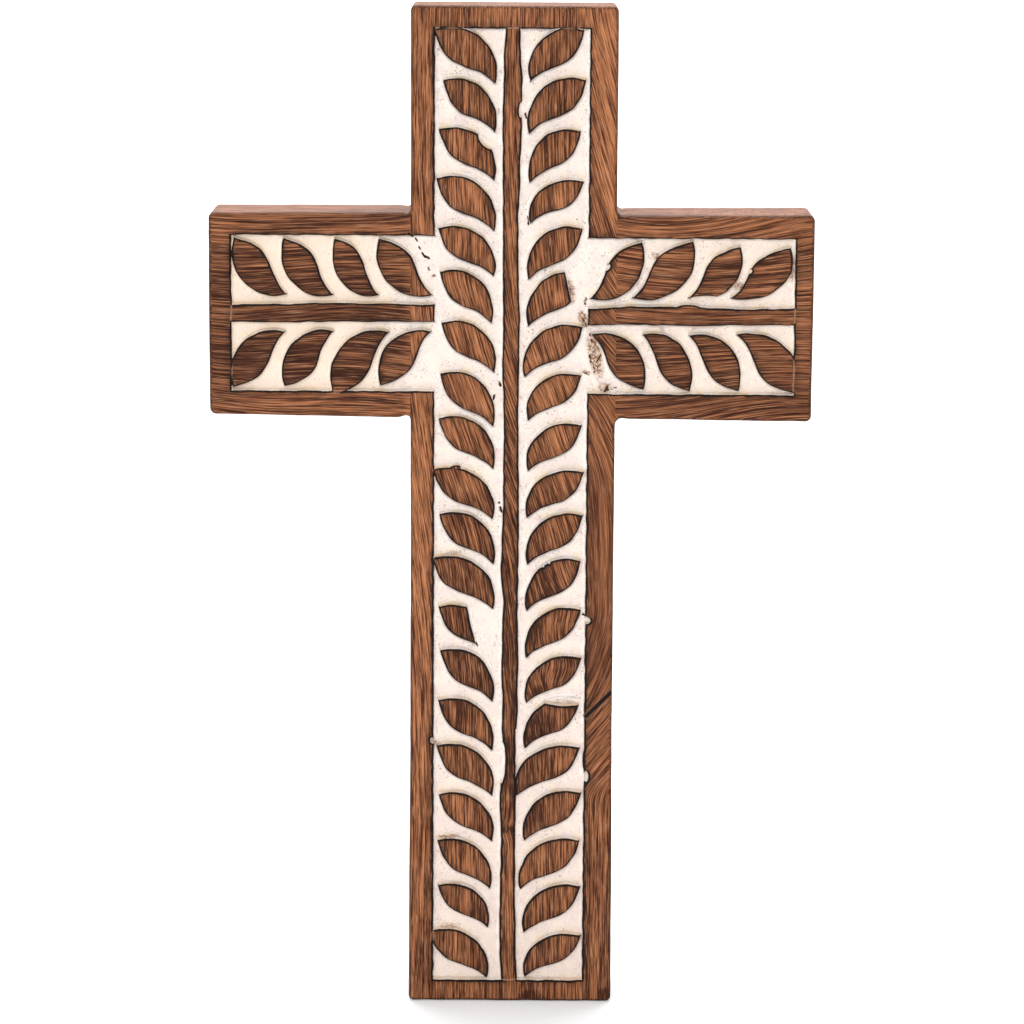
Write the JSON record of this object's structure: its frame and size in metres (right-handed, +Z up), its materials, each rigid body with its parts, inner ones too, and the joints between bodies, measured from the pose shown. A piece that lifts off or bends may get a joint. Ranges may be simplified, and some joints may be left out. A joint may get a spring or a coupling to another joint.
{
  "type": "carved wall cross",
  "caption": "Wooden wall cross of a post and two glued arms, carved with rows of raised leaves along a stem on a cut-back ground.",
  "frame": {"origin": "on the flat back face, on the post's centre line at the middle of the crossing", "axes": "+X to the viewer's right along the arms, +Y out of the back into the wall (the carved front faces -Y), +Z up along the post"},
  "size_m": [0.1805, 0.025, 0.305],
  "materials": {
    "post_wood": "brown stained and waxed hardwood, grain upright; carved ground painted chalky white",
    "arm_wood": "brown stained and waxed hardwood, grain level; carved ground painted chalky white"
  },
  "bodies": {
    "root": {"post": "post_wood", "left_arm": "arm_wood", "right_arm": "arm_wood"}
  },
  "joints": []
}
